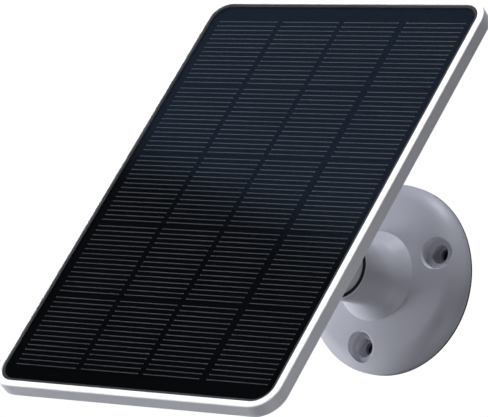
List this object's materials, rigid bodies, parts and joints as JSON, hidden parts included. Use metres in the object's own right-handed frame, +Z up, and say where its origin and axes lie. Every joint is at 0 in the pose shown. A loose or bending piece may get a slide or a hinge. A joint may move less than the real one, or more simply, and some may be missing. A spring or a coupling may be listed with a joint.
{
  "type": "solar charging panel with swivel wall bracket",
  "caption": "Framed solar charging panel for a security camera on a round wall bracket with a ball joint and lock nut, so it swivels, tilts and turns to face the sun.",
  "frame": {"origin": "centre of the wall pad's back face, on the wall plane", "axes": "+Y into the wall, so the product faces -Y; +Z up; +X to the right seen from the front"},
  "size_m": [0.12, 0.1385, 0.1542],
  "materials": {
    "frame_white": "satin white moulded plastic",
    "shell_grey": "satin light grey moulded plastic",
    "black_rubber": "matt black rubber",
    "seat_nylon": "natural nylon",
    "nut_plastic": "satin grey moulded plastic",
    "zinc_steel": "bright zinc-plated steel",
    "brass_insert": "knurled brass",
    "backing": "black glass-fibre board",
    "silicon": "dark blue-black silicon cells with printed fingers",
    "clear_cover": "clear low-gloss cover sheet",
    "circuit_board": "green solder mask",
    "component_dark": "moulded component body",
    "component_light": "ivory connector plastic",
    "lead_red": "insulated wire"
  },
  "bodies": {
    "wall_side": {"wall_pad": "black_rubber", "wall_base": "shell_grey", "socket_collar": "shell_grey", "retainer_plate": "zinc_steel", "retainer_screws": "zinc_steel", "seat_spring": "zinc_steel", "grip_ring": "black_rubber"},
    "seat": {"ball_seat": "seat_nylon"},
    "stem": {"ball_stem": "shell_grey", "stud": "zinc_steel"},
    "nut": {"lock_nut": "nut_plastic"},
    "panel": {"jam_washer": "black_rubber", "threaded_insert": "brass_insert", "rear_cover": "shell_grey", "cover_gasket": "black_rubber", "cover_screws": "zinc_steel", "front_frame": "frame_white", "edge_seal": "black_rubber", "backing_board": "backing", "cell_ribbons": "backing", "solar_cells": "silicon", "cover_sheet": "clear_cover", "regulator_board": "circuit_board", "inductor": "component_dark", "capacitors": "zinc_steel", "rectifier": "component_dark", "output_socket": "component_light", "board_screws": "zinc_steel", "cell_leads": "lead_red", "cable_grommet": "black_rubber", "vent_plug": "black_rubber"}
  },
  "joints": [
    {"name": "swivel", "type": "hinge", "parent": "wall_side", "child": "seat", "pos_m": [0, -0.0284, 0], "axis": [0, -1, 0], "continuous": true},
    {"name": "tilt", "type": "hinge", "parent": "seat", "child": "stem", "pos_m": [0, -0.0284, 0], "axis": [-1, 0, 0], "range_deg": [-71, 12.5]},
    {"name": "nut_spin", "type": "hinge", "parent": "stem", "child": "nut", "pos_m": [0, -0.0284, 0], "axis": [0, -0.8545, 0.5195], "continuous": true},
    {"name": "panel_spin", "type": "hinge", "parent": "stem", "child": "panel", "pos_m": [0, -0.0284, 0], "axis": [0, -0.8545, 0.5195], "range_deg": [-90, 90]}
  ]
}
